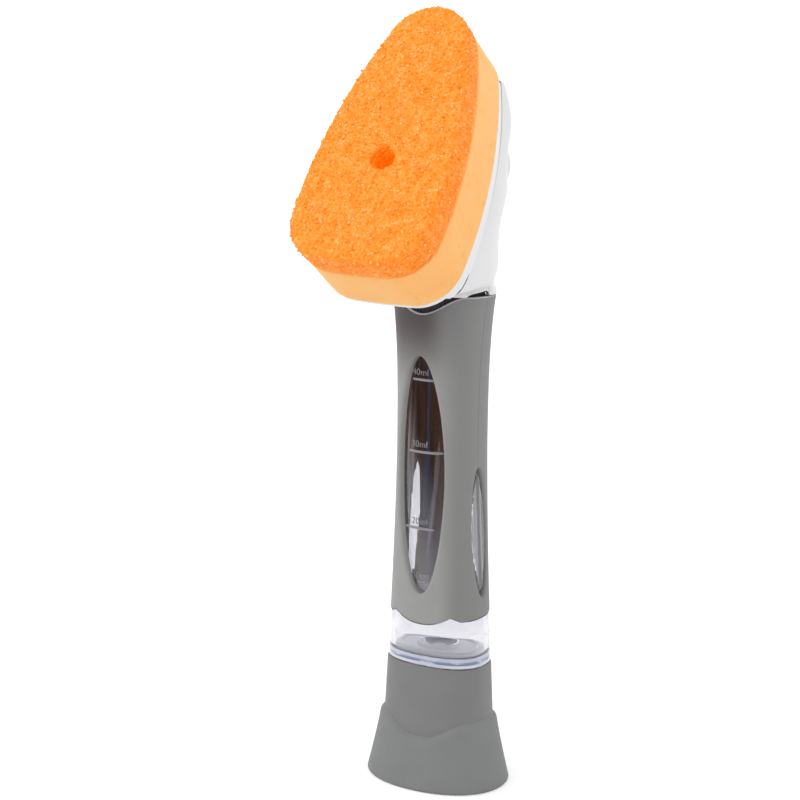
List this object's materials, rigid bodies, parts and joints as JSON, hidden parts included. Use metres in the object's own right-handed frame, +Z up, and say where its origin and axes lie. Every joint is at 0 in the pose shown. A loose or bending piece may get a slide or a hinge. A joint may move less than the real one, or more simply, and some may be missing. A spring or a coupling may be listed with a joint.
{
  "type": "soap dispensing dish wand",
  "caption": "Upright dish wand with an oval foot, a clear soap tank in a windowed soft grip, a valve head with a thumb button, and a tilted two-layer sponge that unclips.",
  "frame": {"origin": "centre of the flat underside of the foot", "axes": "+Z up along the handle, -Y towards the scrubbing side of the sponge, +X to the right as seen from the front"},
  "size_m": [0.05, 0.0882, 0.2599],
  "materials": {
    "soft_grey": "matte moulded",
    "clear_tank": "clear polished",
    "collar_dark": "fine ribbed",
    "seal_black": "smooth",
    "silicone": "smooth",
    "shell_white": "polished, slightly see-through",
    "plate_white": "fine",
    "button_white": "polished",
    "valve_plastic": "fine",
    "spring_steel": "drawn wire",
    "foam": "fine open foam",
    "scrub": "coarse open foam"
  },
  "bodies": {
    "handle": {"base_skirt": "soft_grey", "base_cup": "soft_grey", "reservoir_floor": "clear_tank", "reservoir": "clear_tank", "grip_sleeve": "soft_grey", "neck_oring": "seal_black"},
    "head": {"coupling_collar": "collar_dark", "neck_gasket": "silicone", "vent_valve": "silicone", "feed_hose": "silicone", "valve_body": "valve_plastic", "head_shell": "shell_white", "button_ring": "button_white", "carrier_plate": "plate_white", "nozzle": "plate_white", "nozzle_seal": "seal_black"},
    "button": {"push_button": "button_white", "valve_stem": "valve_plastic", "stem_oring": "seal_black", "valve_disc": "seal_black", "return_spring": "spring_steel"},
    "sponge": {"backing_plate": "plate_white", "foam_pad": "foam", "scrub_pad": "scrub"}
  },
  "joints": [
    {"name": "head_lift", "type": "slide", "parent": "handle", "child": "head", "axis": [0, 0, 1], "range_m": [0, 0.016]},
    {"name": "sponge_pull", "type": "slide", "parent": "head", "child": "sponge", "axis": [0, -0.7986, 0.6018], "range_m": [0, 0.012]},
    {"name": "button_press", "type": "slide", "parent": "head", "child": "button", "axis": [0, -1, 0], "range_m": [0, 0.002], "stiffness_N_per_m": 200, "springref_m": -0.002, "deforming": ["return_spring"]}
  ]
}
